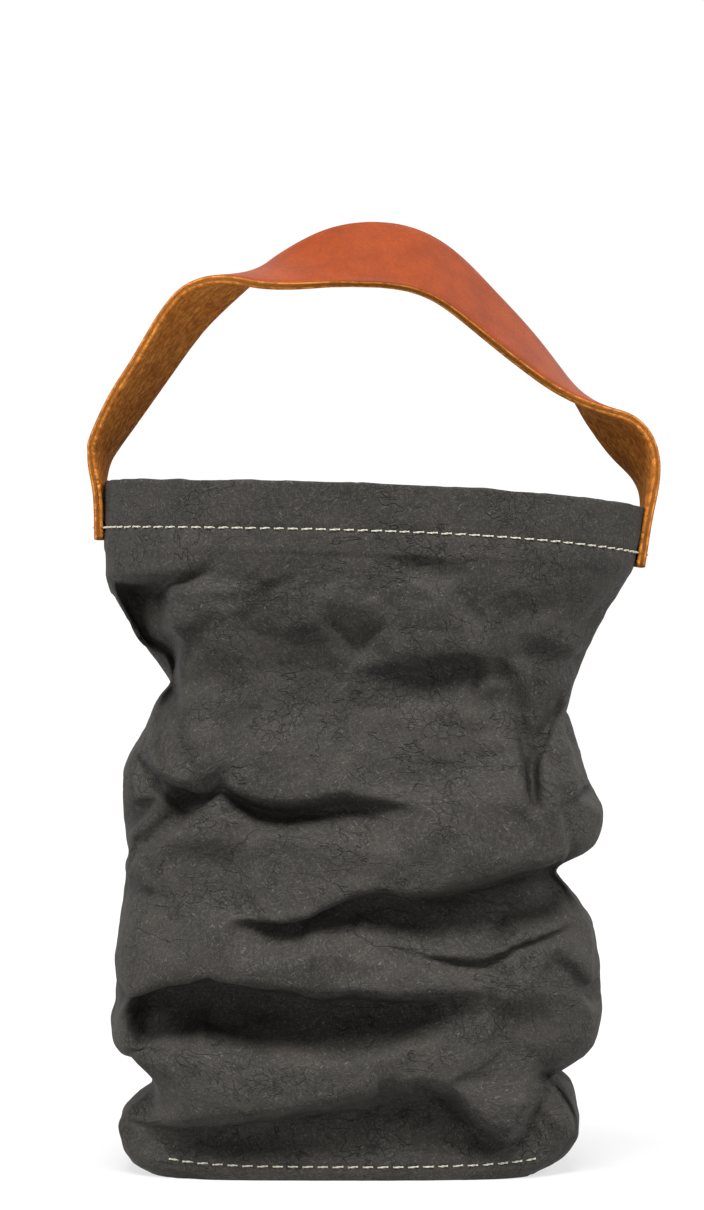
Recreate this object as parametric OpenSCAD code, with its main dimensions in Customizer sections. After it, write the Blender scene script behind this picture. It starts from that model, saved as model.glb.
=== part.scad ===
// Wine gift bag: a tube of washable paper, pushed down into tiers, on a flat sewn base.
// A flat leather strap is sewn to the outside of its two sides and arches over the mouth.
// Millimetres. +Z is up, the origin is the middle of the base's underside, -Y is the front.

/* [Paper] */
// Thickness of the washable paper
paper_t = 0.8; // [0.5:0.1:1.2]
// Width of the seam allowance inside each side seam
allowance = 8; // [4:0.5:10]

/* [Base] */
// Reach of the base from the middle to the left
base_left = 54; // [50:1:56]
// Reach of the base from the middle to the right
base_right = 52; // [50:1:56]
// Reach of the base from the middle to the front and to the back
base_reach = 43; // [43:0.5:44]
// Height of the base panel's upturned edge
lip_h = 6; // [4:0.5:7]

/* [Mouth] */
// Reach of the mouth from the middle to the left
mouth_left = 67.7; // [66:0.1:70]
// Reach of the mouth from the middle to the right
mouth_right = 80.4; // [78:0.1:83]
// Reach of the mouth from the middle to the front and to the back
mouth_reach = 46; // [45:0.5:47]
// Height of the rim at the left side seam
rim_left_h = 189; // [187:0.5:192]
// Height of the rim at the right side seam
rim_right_h = 181.5; // [180:0.5:183]
// Height of the turned hem
hem_h = 16; // [15:0.5:16]

/* [Strap] */
// Width of the leather strap
strap_w = 25; // [20:0.5:26]
// Thickness of the leather
strap_t = 2.6; // [1.6:0.1:2.8]
// Height of the line that the free arch swings about
swing_h = 201; // [201:0.5:204]
// Length of each strap end that is sewn to the bag, below the rim
sewn_h = 16.4; // [12:0.1:18]

/* [Stitching] */
// Diameter of the thread
thread_d = 0.7; // [0.5:0.1:0.9]
// Length of one stitch
stitch_l = 3.3; // [2.5:0.1:3.4]
// Distance from one stitch to the next
stitch_pitch = 3.8; // [3.8:0.1:5]
// Depth of the hem's row below the rim
hem_row = 13; // [10:0.5:14]
// Height of the base's row above the floor
base_row = 3.6; // [3:0.1:5]

/* [Hidden] */

PAPER = "#4b4642";
LEATHER = "#b8602e";
THREAD = "#e6ded0";

FRONT = -1;
BACK = 1;
LEFT = -1;
RIGHT = 1;

STEPS = 22;             // steps round one half of a section
CLEAR = 0.3;            // gap between pieces that move apart
TOUCH = 0.05;           // gap between pieces that lie on each other
FOLD_GAP = 1.4;         // gap between a sewn strap end and the round foot of the free arch
SQUARE_BODY = 4.6;      // squareness of the base's and the body's sections
SQUARE_MOUTH = 2.7;     // squareness of the mouth's section

// Sections of the wall, from the floor up: height at the left seam, reach to the left,
// height at the right seam, reach to the right, reach to the front, reach to the back.
HL = 0;
XL = 1;
HR = 2;
XR = 3;
YF = 4;
YB = 5;
TIERS = [
    [0, base_left, 0, base_right, base_reach, base_reach],
    [3, 60.5, 3, 58, base_reach + 0.5, base_reach + 0.5],
    [12, 63.7, 12, 62.6, 45, 45],
    [22.5, 54.7, 26.5, 54.6, 42.4, 43],
    [32, 63.5, 31.5, 63.8, 44.5, 45],
    [38.5, 66.3, 37, 66.6, 45.5, 46],
    [46, 64.9, 50, 67.5, 43.5, 45],
    [60, 64.4, 62, 67.3, 46.5, 44],
    [73, 62.2, 73, 63, 45.5, 46],
    [85, 61.2, 82.5, 55.3, 43, 45],
    [90, 61, 88, 65, 44, 43],
    [104, 62.7, 99, 68.4, 46, 45.5],
    [112, 61.6, 106, 66, 46.5, 46.5],
    [123, 55.9, 116, 61, 45, 44],
    [134, 48.6, 125, 57.3, 43.5, 43],
    [140, 52.6, 131, 59.6, 43.5, 44.5],
    [150, 61.3, 141, 63.9, 44.5, 46],
    [158, 66.4, 151, 69.9, 46, 46],
    [rim_left_h - hem_h, 67.9, rim_right_h - hem_h, 77.9, 46.5, 46.5]
];
HEM_FOOT = TIERS[len(TIERS) - 1];
RIM = [rim_left_h, mouth_left, rim_right_h, mouth_right, mouth_reach, mouth_reach];

// Free arch of the strap, from its left foot to its right foot: the strap's middle,
// then the direction across the strap towards its front edge.
ARCH = [
    [[-69.8, 0, swing_h - 12], [-0.02, -1, 0]],
    [[-69.7, 0, swing_h - 9.5], [-0.06, -1, 0]],
    [[-69, -0.5, swing_h - 5], [-0.16, -1, 0]],
    [[-67, -1.5, swing_h], [-0.28, -1, 0]],
    [[-60, -8, 212.7], [-0.4, -0.92, 0]],
    [[-54, -13, 221], [-0.42, -0.9, -0.03]],
    [[-46.7, -17.5, 232], [-0.52, -0.85, -0.04]],
    [[-40, -20.5, 239], [-0.6, -0.8, 0]],
    [[-34.5, -24, 242.5], [-0.52, -0.86, -0.03]],
    [[-28.5, -26.5, 244.2], [-0.42, -0.9, -0.15]],
    [[-22, -28, 244.8], [-0.36, -0.86, -0.36]],
    [[-14, -28.5, 246.5], [-0.28, -0.8, -0.53]],
    [[-5, -28, 249], [-0.2, -0.73, -0.65]],
    [[4.5, -27.5, 250], [-0.12, -0.71, -0.7]],
    [[15, -27, 249], [-0.06, -0.72, -0.69]],
    [[25.3, -24.5, 244.6], [-0.12, -0.78, -0.61]],
    [[36.3, -19.5, 234.9], [-0.13, -0.86, -0.5]],
    [[47, -14.5, 225.5], [-0.1, -0.9, -0.42]],
    [[56.4, -10, 217], [-0.08, -0.97, -0.23]],
    [[64.5, -7, 210.8], [0.04, -1, -0.07]],
    [[71, -4, 206], [0.22, -0.96, 0.2]],
    [[75.4, -2, swing_h], [0.33, -0.91, 0.25]],
    [[78.4, -1, swing_h - 5], [0.3, -0.93, 0.2]],
    [[80.4, -0.3, swing_h - 9.5], [0.2, -0.96, 0.12]],
    [[81.2, 0, swing_h - 12], [0.14, -0.97, 0.08]]
];

// ---- Sections of the wall ----

function mix(a, b, t) = a + (b - a) * t;

function power(v, e) = sign(v) * pow(abs(v), e);

function unit(v) = v / norm(v);

// The sections go from square at the base to oval at the mouth.
function squareness(tier) =
    mix(SQUARE_BODY, SQUARE_MOUTH, pow(max(0, tier[HL] - 120) / (rim_left_h - 120), 0.6));

// The rim stays level for most of its width, and then falls to the right.
function fall(u) = 0.3 * u + 0.7 * pow(u, 4);

// One point of a section at an angle from +X, moved outwards by grow.
function wall_point(tier, angle, grow = 0) =
    let (
        e = 2 / squareness(tier),
        c = power(cos(angle), e),
        s = power(sin(angle), e),
        x = c * ((c < 0 ? tier[XL] : tier[XR]) + grow),
        y = s * ((s < 0 ? tier[YF] : tier[YB]) + grow),
        u = (x + tier[XL]) / (tier[XL] + tier[XR])
    )
    [x, y, mix(tier[HL], tier[HR], fall(min(1, max(0, u))))];

// The front or back half of a section, from the left seam to the right seam.
function half_section(tier, side, grow = 0) =
    [for (i = [0:STEPS]) wall_point(tier, 180 - side * 180 * i / STEPS, grow)];

// The inner face of a half section keeps clear of the seam's plane by one thickness.
function inner_half(tier, side, t, keep) =
    [for (p = half_section(tier, side, -t)) [p.x, side * max(keep, abs(p.y)), p.z]];

// One closed loop of a panel: its outer face, its right allowance, its inner face and
// its left allowance.
function panel_loop(tier, side, flange) =
    let (
        outer = half_section(tier, side),
        inner = inner_half(tier, side, paper_t, paper_t),
        right = outer[STEPS],
        left = outer[0]
    )
    concat(
        outer,
        [[right.x - flange, 0, right.z], [right.x - flange, side * paper_t, right.z]],
        [for (i = [STEPS:-1:0]) inner[i]],
        [[left.x + flange, side * paper_t, left.z], [left.x + flange, 0, left.z]]
    );

// One closed loop of a turned hem, two thicknesses of paper with no allowance.
function hem_loop(tier, side) =
    concat(
        half_section(tier, side),
        [for (i = [STEPS:-1:0]) inner_half(tier, side, 2 * paper_t, 0)[i]]
    );

// ---- Solids from loops of points ----

// Skins a stack of loops that have the same number of points. The end caps are strips
// from point i to point last - i, because every loop here goes out along one face and
// comes back along the other.
module skin(loops) {
    n = len(loops[0]);
    top = n * (len(loops) - 1);
    function cap(base, flip) = [
        for (i = [0:n / 2 - 2])
        let (q = [base + i, base + i + 1, base + n - 2 - i, base + n - 1 - i])
        each flip ? [[q[0], q[1], q[2]], [q[0], q[2], q[3]]] : [[q[2], q[1], q[0]], [q[3], q[2], q[0]]]
    ];
    sides = [
        for (k = [0:len(loops) - 2], i = [0:n - 1])
        let (a = k * n + i, b = k * n + (i + 1) % n)
        each [[a, a + n, b + n], [a, b + n, b]]
    ];
    polyhedron([for (loop = loops) each loop], concat(sides, cap(0, true), cap(top, false)), convexity = 10);
}

// A wall panel's cap isn't one strip, because its allowances point inwards.
module panel_skin(loops) {
    n = len(loops[0]);
    top = n * (len(loops) - 1);
    m = STEPS;
    function quads(base) = concat(
        [for (i = [0:m - 1]) [base + i, base + i + 1, base + 2 * m + 2 - i, base + 2 * m + 3 - i]],
        [[base + m, base + m + 1, base + m + 2, base + m + 3]],
        [[base + 2 * m + 3, base + 2 * m + 4, base + 2 * m + 5, base]]
    );
    function cap(base, flip) = [
        for (q = quads(base))
        each flip ? [[q[0], q[1], q[2]], [q[0], q[2], q[3]]] : [[q[2], q[1], q[0]], [q[3], q[2], q[0]]]
    ];
    sides = [
        for (k = [0:len(loops) - 2], i = [0:n - 1])
        let (a = k * n + i, b = k * n + (i + 1) % n)
        each [[a, a + n, b + n], [a, b + n, b]]
    ];
    polyhedron([for (loop = loops) each loop], concat(sides, cap(0, true), cap(top, false)), convexity = 10);
}

// Turns a solid inside out by mirroring, so that both halves of the bag are wound alike.
function ordered(loops, side) = side == BACK ? loops : [for (i = [len(loops) - 1:-1:0]) loops[i]];

// ---- Rows of stitches ----

function length_of(path, i = 0) =
    i >= len(path) - 1 ? 0 : norm(path[i + 1] - path[i]) + length_of(path, i + 1);

// The point and the direction at a distance along a path.
function along(path, d, i = 0) =
    let (l = norm(path[i + 1] - path[i]))
    d <= l || i == len(path) - 2
        ? [mix(path[i], path[i + 1], d / l), unit(path[i + 1] - path[i])]
        : along(path, d - l, i + 1);

// Stitches at even steps along a path, leaving a margin at both of its ends.
module stitch_row(path, margin = 3) {
    run = length_of(path) - 2 * margin;
    count = floor(run / stitch_pitch);
    color(THREAD)
    for (i = [0:count - 1]) {
        spot = along(path, margin + run * (i + 0.5) / count);
        dir = spot[1];
        translate(spot[0])
        rotate([0, acos(dir.z), atan2(dir.y, dir.x)])
        cylinder(h = stitch_l, d = thread_d, center = true, $fn = 24);
    }
}

// ---- Pieces of paper ----

module wall_panel(side) {
    last = len(TIERS) - 1;
    color(PAPER)
    panel_skin(ordered([
        for (k = [0:last])
        let (
            tier = TIERS[k],
            drop = k == last ? CLEAR : 0,
            flange = k < 2 ? paper_t + 0.2 : allowance,
            loop = panel_loop(tier, side, flange)
        )
        [for (p = loop) [p.x, p.y, p.z - drop]]
    ], side));
}

module front_panel() {
    wall_panel(FRONT);
}

module back_panel() {
    wall_panel(BACK);
}

module base_outline(shrink) {
    floor_tier = TIERS[0];
    polygon([
        for (i = [0:4 * STEPS - 1])
        let (p = wall_point(floor_tier, 90 * i / STEPS, -shrink))
        [p.x, p.y]
    ]);
}

module base_panel() {
    gap = paper_t + CLEAR;
    color(PAPER)
    difference() {
        linear_extrude(lip_h) base_outline(gap);
        translate([0, 0, paper_t]) linear_extrude(lip_h) base_outline(gap + paper_t);
    }
}

module hem(side) {
    color(PAPER)
    skin(ordered([for (t = [0, 0.25, 0.5, 0.75, 1]) hem_loop(mix(HEM_FOOT, RIM, t), side)], side));
}

module front_hem() {
    hem(FRONT);
}

module back_hem() {
    hem(BACK);
}

// ---- Leather strap ----

// Half the width of the arch: its two feet are round about the line that it swings on.
function arch_half(p) =
    let (below = max(0, swing_h - p.z))
    min(strap_w / 2, sqrt(max(0, pow(strap_w / 2, 2) - below * below)));

function arch_tangent(i) = unit(ARCH[min(len(ARCH) - 1, i + 1)][0] - ARCH[max(0, i - 1)][0]);

function arch_loop(i) =
    let (
        p = ARCH[i][0],
        t = arch_tangent(i),
        raw = ARCH[i][1],
        w = unit(raw - t * (raw * t)),
        n = cross(t, w),
        a = w * arch_half(p),
        b = n * strap_t / 2
    )
    [p - a - b, p + a - b, p + a + b, p - a + b];

module strap_arch() {
    color(LEATHER)
    skin([for (i = [0:len(ARCH) - 1]) arch_loop(i)]);
}

function strap_foot(side) = side == LEFT ? HEM_FOOT : mix(HEM_FOOT, RIM, (hem_h - sewn_h) / hem_h);

// A sewn end: a flat plate that lies on the bag's side and leans with it.
module strap_end(side) {
    rim = side == LEFT ? [-mouth_left, rim_left_h] : [mouth_right, rim_right_h];
    foot = side == LEFT ? [-HEM_FOOT[XL], HEM_FOOT[HL]] : [HEM_FOOT[XR], HEM_FOOT[HR]];
    lean = atan2(rim.x - foot.x, rim.y - foot.y);
    top_h = swing_h - strap_w / 2 - FOLD_GAP - rim.y;
    color(LEATHER)
    translate([rim.x, 0, rim.y])
    rotate([0, lean, 0])
    translate([side > 0 ? CLEAR : -CLEAR - strap_t, -strap_w / 2, -sewn_h])
    cube([strap_t, strap_w, sewn_h + top_h]);
}

module left_strap_end() {
    strap_end(LEFT);
}

module right_strap_end() {
    strap_end(RIGHT);
}

// ---- Stitching ----

// The hem's row lies on the paper, and skips the part of the mouth under the strap ends.
module hem_stitching(side) {
    tier = mix(RIM, HEM_FOOT, hem_row / hem_h);
    grow = thread_d / 2 + TOUCH;
    stitch_row(half_section(tier, side, grow), strap_w / 2 + 2);
}

module front_hem_stitching() {
    hem_stitching(FRONT);
}

module back_hem_stitching() {
    hem_stitching(BACK);
}

module strap_stitching(side) {
    tier = mix(RIM, HEM_FOOT, hem_row / hem_h);
    out = CLEAR + strap_t + thread_d / 2 + 0.1;
    x = side == LEFT ? -tier[XL] - out : tier[XR] + out;
    z = side == LEFT ? tier[HL] : tier[HR];
    stitch_row([[x, -strap_w / 2, z], [x, strap_w / 2, z]], 1);
}

module left_strap_stitching() {
    strap_stitching(LEFT);
}

module right_strap_stitching() {
    strap_stitching(RIGHT);
}

// The front and back rows of the base lie on the outside of the pinched edge.
module base_stitching(side) {
    t = (base_row - TIERS[1][HL]) / (TIERS[2][HL] - TIERS[1][HL]);
    row = half_section(mix(TIERS[1], TIERS[2], t), side, thread_d / 2 + 0.2);
    stitch_row(row, 44);
}

module front_base_stitching() {
    base_stitching(FRONT);
}

module back_base_stitching() {
    base_stitching(BACK);
}

// The short sides of the base are closed from the inside, so their rows lie between the
// base panel's edge and the wall.
module side_base_stitching(side) {
    out = thread_d / 2 + TOUCH - paper_t - CLEAR;
    x = side == LEFT ? -base_left - out : base_right + out;
    stitch_row([[x, -24, base_row], [x, 24, base_row]], 1);
}

module left_base_stitching() {
    side_base_stitching(LEFT);
}

module right_base_stitching() {
    side_base_stitching(RIGHT);
}

// The side seams are closed from the inside, on the front face of the two allowances.
module seam_stitching(side) {
    inset = allowance - 2;
    y = -paper_t - thread_d / 2 - TOUCH;
    path = [
        for (k = [2:len(TIERS) - 1])
        side == LEFT
            ? [inset - TIERS[k][XL], y, TIERS[k][HL] - CLEAR]
            : [TIERS[k][XR] - inset, y, TIERS[k][HR] - CLEAR]
    ];
    stitch_row(path, 2);
}

module left_seam_stitching() {
    seam_stitching(LEFT);
}

module right_seam_stitching() {
    seam_stitching(RIGHT);
}

front_panel();
back_panel();
base_panel();
front_hem();
back_hem();
strap_arch();
left_strap_end();
right_strap_end();
front_hem_stitching();
back_hem_stitching();
left_strap_stitching();
right_strap_stitching();
front_base_stitching();
back_base_stitching();
left_base_stitching();
right_base_stitching();
left_seam_stitching();
right_seam_stitching();
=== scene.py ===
import math
import random

import bpy
import numpy as np
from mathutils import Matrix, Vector
from mathutils.bvhtree import BVHTree
from mathutils.geometry import delaunay_2d_cdt


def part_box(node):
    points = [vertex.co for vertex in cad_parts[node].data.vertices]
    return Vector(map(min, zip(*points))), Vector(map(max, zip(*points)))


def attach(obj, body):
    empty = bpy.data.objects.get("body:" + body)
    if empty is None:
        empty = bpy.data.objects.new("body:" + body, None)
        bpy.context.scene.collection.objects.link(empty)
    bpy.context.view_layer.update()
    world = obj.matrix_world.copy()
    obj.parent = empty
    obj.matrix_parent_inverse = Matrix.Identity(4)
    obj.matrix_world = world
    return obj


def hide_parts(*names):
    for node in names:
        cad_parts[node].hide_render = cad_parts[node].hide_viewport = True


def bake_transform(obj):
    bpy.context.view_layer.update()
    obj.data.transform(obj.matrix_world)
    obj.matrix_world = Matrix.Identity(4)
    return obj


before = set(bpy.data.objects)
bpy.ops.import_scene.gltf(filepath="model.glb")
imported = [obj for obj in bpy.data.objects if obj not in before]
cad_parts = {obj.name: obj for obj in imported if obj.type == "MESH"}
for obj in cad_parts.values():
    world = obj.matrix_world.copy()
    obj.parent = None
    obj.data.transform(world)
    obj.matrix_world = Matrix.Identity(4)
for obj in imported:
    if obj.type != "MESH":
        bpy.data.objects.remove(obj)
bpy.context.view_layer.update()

# A washable-paper wine gift bag. Lengths below are millimetres until they reach a mesh.
# +X is the viewer's right, -Y is the front, +Z is up, and the floor is z = 0.

MM = 0.001
CAD_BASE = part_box("base_panel")

# ---- Camera ----
CAMERA_AWAY = 1600.0
CAMERA_HEIGHT = 154.7
CAMERA_LENS = 172.3

# ---- The space kept for a bottle, which isn't modelled ----
BOTTLE_R = 41.0
BOTTLE_X = 1.5
# Points this close to the side seams stay where they are.
SEAM_ZONE = 4

# ---- Paper ----
PAPER_T = 0.7
RIM_LEFT = 189.0
RIM_RIGHT = 181.5
HEM_DEPTH = 18.0
HEM_ROW = 13.0
BASE_ROW = 3.6
SEAM_INSET = 6.0
# Exponent of the level sections: squarish in the body, and rounder from SQUARE_FROM up to the rim.
SQUARE_BODY = 4.6
SQUARE_MOUTH = 2.7
SQUARE_FROM = 120.0

PAPER_DARK = (31, 29, 26)
PAPER_LIGHT = (43, 40, 36)
PAPER_GRAIN = (82, 78, 72)
PAPER_FIBRE = (112, 106, 97)
# The darkest paper colour: it darkens the fine grain specks, and is painted shade in the grooves of the fine
# crease lines.
PAPER_SPECK_AND_CREASE_SHADE = (14, 13, 12)

# ---- Thread ----
STITCH_PITCH = 3.75
BASE_PITCH = 4.05
STITCH_LENGTH = 3.3

# ---- Strap ----
STRAP_W = 25.0
STRAP_T = 2.6

# Outlines of the two sides: height, then reach from the middle.
LEFT_OUTLINE = [
    (0, 54), (2.5, 60.5), (6, 62.6), (10.2, 63.6), (13.8, 63.9), (17.5, 61.5), (20.3, 55.8), (24.6, 54.6),
    (28.5, 56.2), (31.3, 60), (32.3, 64.6), (35, 66.1), (38.4, 66.3), (42, 65.9), (44.8, 64.9), (58.3, 64.6),
    (65, 63.6), (72.9, 62.2), (80, 61.5), (84, 61.8), (88, 60.8), (95, 61.7), (104, 62.8), (110, 62.2),
    (114.5, 60.6), (118, 58.8), (123.8, 55.5), (129.6, 52.3), (134, 48.4), (139.2, 52.2), (144, 56.6),
    (150.8, 61.9), (157.7, 66.2), (162.4, 67.4), (172.9, 68), (189, 67.7),
]
RIGHT_OUTLINE = [
    (0, 50), (3.3, 57.7), (9.7, 62.3), (14.6, 62.5), (19, 61.3), (22.7, 59.8), (25.8, 54.6), (27.6, 56),
    (31, 63.6), (34.5, 66.3), (43.4, 67.4), (59.4, 67.4), (64, 66.7), (68.8, 65.7), (74, 62.4), (78.5, 58.6),
    (82, 55.2), (84, 56), (85.6, 61), (87.5, 65.3), (90, 67), (94, 67.8), (98.9, 68.5), (104.7, 66),
    (110, 63.4), (114.6, 61.3), (121, 58.6), (124.9, 57.1), (128.2, 58.6), (134, 61.1), (139.5, 63.6),
    (151.4, 69.9), (161.1, 75.2), (165.2, 77.4), (173, 79), (181.5, 80.4),
]

# How far the front and the back stand from the middle, by height, away from the folds.
FRONT_OUTLINE = [
    (0, 43.8), (8, 44.4), (18, 44.5), (26, 45.2), (36, 44.8), (44, 43.8), (52, 46.2), (62, 47), (74, 44.4),
    (86, 42.2), (92, 44), (104, 45.5), (114, 44), (124, 41.8), (138, 42.4), (153, 44.8),
    (166, 46.4), (189, 46),
]
BACK_OUTLINE = [
    (0, 43.8), (8, 44.6), (22, 43), (34, 45.5), (48, 43.5), (62, 46), (78, 43), (90, 45.5), (108, 42),
    (122, 44.8), (138, 41.5), (152, 44.5), (166, 46.2), (189, 46),
]

# Folds. Each is a line on one face, in that face's own coordinates (across, height). The paper
# on its left, seen along the line, is pushed out by `out`, fading over `wide`. The paper on its
# right is sunk by `sink`, fading over `deep`, after a flat part that is `shelf` of `deep`. `slide`
# draws the lip over the sunk side, and `ends` says how much of each end of the line fades out.
# Several numbers are spread evenly from the line's start to its end.
FRONT_FOLDS = [
    # the ridge and the dark pocket at the upper left
    dict(line=[(-48.2, 163), (-48.4, 151), (-47.2, 140), (-45, 129), (-40.5, 114), (-37, 106)],
         out=(4.5, 2.5, 2.0), sink=(16, 12, 2.0), wide=24, deep=(20, 16, 9), slide=(2.5, 0.5),
         ends=(0.08, 0.35), shelf=0.5),
    dict(line=[(-70, 162.5), (-57, 163), (-48, 163.5), (-34, 165.5)],
         out=2.2, sink=(6.0, 2.5), wide=12, deep=16, slide=2.0, ends=(0.15, 0.4), shelf=0.35),
    # the second tier on the left, with the long diagonal valley under it
    dict(line=[(-63, 118), (-56, 115), (-48.5, 109), (-39, 105.5), (-31, 104)],
         out=3.2, sink=6.5, wide=16, deep=13, slide=2.6, ends=(0.08, 0.3), shelf=0.4),
    dict(line=[(-29, 109), (-36, 103), (-45, 95.5), (-54, 89), (-61, 85)],
         out=(2.5, 2.5), sink=(4.5, 4.5), wide=18, deep=14, slide=1.4, ends=(0.3, 0.2), shelf=0.3),
    # the small open pocket left of the middle
    dict(line=[(-36, 108), (-29, 104.6), (-22, 102.4), (-13, 102.4), (-3, 104), (9, 103), (24, 99)],
         out=1.4, sink=(8.0, 9.5, 6, 3), wide=18, deep=(9, 12, 14, 12), slide=(2.0, 1.2, 0.5),
         ends=(0.12, 0.4), shelf=0.35),
    # the long lip that falls from the right to the left
    dict(line=[(-36, 67), (-31.7, 68.3), (-23.6, 69.8), (-11, 72), (1.9, 77.4), (16.4, 77.6),
               (29.8, 80.6), (41, 83.5), (60, 87)],
         out=(4.5, 8.0, 9.0, 6.0), sink=(6, 5, 6, 10), wide=(24, 28), deep=(12, 15, 21, 25, 22),
         slide=(3.5, 6.0), ends=(0.2, 0.04), shelf=0.6),
    dict(line=[(-8, 67.5), (12, 63.8), (31.7, 61), (45, 64.5), (64, 71.5)],
         out=0.3, sink=3.4, wide=10, deep=7, slide=0.8, ends=(0.3, 0.15), shelf=0.25),
    # the lip over the lens-shaped hollow
    dict(line=[(-66, 49), (-60, 50.4), (-52, 52.3), (-43, 53.2), (-33.6, 53.2), (-18.3, 52),
               (-5.4, 51), (14, 49.8), (42, 49.4)],
         out=(5.0, 6.0, 9.0, 8.0, 3.0), sink=(13, 15, 9, 6, 3), wide=(26, 20),
         deep=(17, 20.5, 21.5, 19, 14, 5), slide=(4.5, 1.0), ends=(0.08, 0.3), shelf=0.86),
    dict(line=[(-66, 31.5), (-60, 36), (-52, 38), (-46, 37)],
         out=3.0, sink=1.5, wide=7, deep=7, slide=1.0, ends=(0.2, 0.4), shelf=0.3),
    # the lowest lip, with its hanging tip on the right
    dict(line=[(-66, 17), (-52.6, 16.6), (-38.9, 17.7), (-25.5, 19.3), (-11, 21.3), (2.7, 23.6),
               (14, 25.2), (27, 24.9), (32, 21.5), (36, 15.5), (39.5, 11.6), (43, 15), (47.5, 22.5),
               (52.5, 31)],
         out=(7.0, 8.5, 8.5, 6.5), sink=(6, 4, 4, 6.5), wide=24, deep=26, slide=(5.0, 3.0),
         ends=(0.06, 0.08), shelf=0.75),
    # the tucked gusset beside the tip
    dict(line=[(61, 9), (58.5, 17), (52.5, 24.5), (46, 28)],
         out=3.0, sink=3.5, wide=11, deep=7, slide=1.2, ends=(0.25, 0.25), shelf=0.35),
    # the pleat and the side flap at the right
    dict(line=[(49, 97), (45, 106), (43.6, 116), (43.0, 131)],
         out=2.6, sink=5.0, wide=18, deep=8, slide=0.8, ends=(0.3, 0.45), shelf=0.3),
    dict(line=[(58.5, 128.5), (53.5, 119), (50, 110), (48.2, 99)],
         out=2.8, sink=4.5, wide=13, deep=6, slide=0.5, ends=(0.1, 0.3), shelf=0.35),
    # the soft hollow that runs to the hook at the right
    dict(line=[(-4, 138), (16, 140), (30, 141.5), (40, 139)],
         out=1.6, sink=4.2, wide=14, deep=16, slide=0.8, ends=(0.5, 0.15), shelf=0.4),
    dict(line=[(6, 168), (20, 168), (36, 164)],
         out=0.2, sink=2.0, wide=5, deep=11, slide=0.4, ends=(0.4, 0.4), shelf=0.35),
]
BACK_FOLDS = [
    dict(line=[(-60, 146), (-38, 141), (-14, 146), (8, 139), (30, 143)],
         out=3, sink=4.5, wide=20, deep=14, slide=3, ends=(0.2, 0.35)),
    dict(line=[(-30, 121), (-6, 112), (20, 109), (44, 115), (62, 119)],
         out=3.5, sink=5, wide=22, deep=16, slide=4, ends=(0.35, 0.1)),
    dict(line=[(-62, 88), (-44, 91), (-20, 84), (4, 80), (24, 82)],
         out=4, sink=5.5, wide=24, deep=17, slide=4.5, ends=(0.08, 0.35)),
    dict(line=[(-14, 55), (10, 58), (34, 52), (60, 49)],
         out=3.5, sink=6, wide=22, deep=16, slide=4, ends=(0.35, 0.1)),
    dict(line=[(-62, 40), (-40, 36), (-18, 38), (0, 43)],
         out=3, sink=4.5, wide=18, deep=13, slide=3, ends=(0.1, 0.4)),
    dict(line=[(-60, 18), (-34, 21), (-6, 19), (22, 22), (58, 20)],
         out=3, sink=4, wide=17, deep=12, slide=3, ends=(0.08, 0.1)),
    dict(line=[(-26, 160), (-28, 146), (-22, 128)],
         out=1.6, sink=2.6, wide=14, deep=8, slide=0.6, ends=(0.35, 0.35)),
]


def side_fold(line, sink, wide, deep, slide, ends):
    """A fold of a side face, which hardly stands out."""
    return dict(line=line, out=0.3, sink=sink, wide=wide, deep=deep, slide=slide, ends=ends)


# The side faces sink only away from the silhouette, which the outlines above already give.
LEFT_FOLDS = [
    side_fold([(-44, 150), (-26, 145), (-8, 141)], 3, 10, 12, 1.5, (0.3, 0.5)),
    side_fold([(10, 146), (26, 152), (44, 149)], 3, 10, 12, 1.5, (0.5, 0.3)),
    side_fold([(-44, 108), (-26, 103), (-8, 107)], 4, 12, 13, 2, (0.3, 0.5)),
    side_fold([(8, 100), (26, 106), (44, 102)], 4, 12, 13, 2, (0.5, 0.3)),
    side_fold([(-44, 77), (-26, 82), (-8, 80)], 3, 10, 11, 1.5, (0.3, 0.5)),
    side_fold([(8, 57), (26, 52), (44, 55)], 4, 12, 12, 2, (0.5, 0.3)),
    side_fold([(-44, 50), (-26, 53), (-8, 48)], 3, 10, 11, 1.5, (0.3, 0.5)),
]
RIGHT_FOLDS = [
    side_fold([(-44, 148), (-26, 142), (-8, 146)], 3, 10, 12, 1.5, (0.3, 0.5)),
    side_fold([(8, 112), (26, 106), (44, 110)], 4, 12, 13, 2, (0.5, 0.3)),
    side_fold([(-44, 100), (-26, 106), (-8, 103)], 3, 12, 12, 2, (0.3, 0.5)),
    side_fold([(-44, 60), (-26, 54), (-8, 57)], 3, 12, 13, 2, (0.3, 0.5)),
    side_fold([(8, 50), (26, 56), (44, 51)], 4, 12, 12, 2, (0.5, 0.3)),
]
FOLDS = {"front": FRONT_FOLDS, "back": BACK_FOLDS, "left": LEFT_FOLDS, "right": RIGHT_FOLDS}

# Dents on the front: across, height, radius across, radius up, depth. A negative one is a bulge.
DENTS = [
    (2.2, 145.0, 3.2, 3.0, 2.4), (40, 136.6, 2.8, 2.6, 3.0), (-55, 151, 5, 8, 2.0),
    (12, 131, 30, 7, 2.0), (-12, 118, 26, 8, -2.0), (-20, 148, 16, 9, -1.6),
    (22, 154, 14, 7, -1.4), (-43, 76, 16, 12, -2.8), (-46, 26, 20, 7, -1.2),
    (54, 56, 13, 9, -2.4), (56, 106, 7, 10, -1.4), (-50, 100, 10, 5, 2.2),
]

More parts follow.
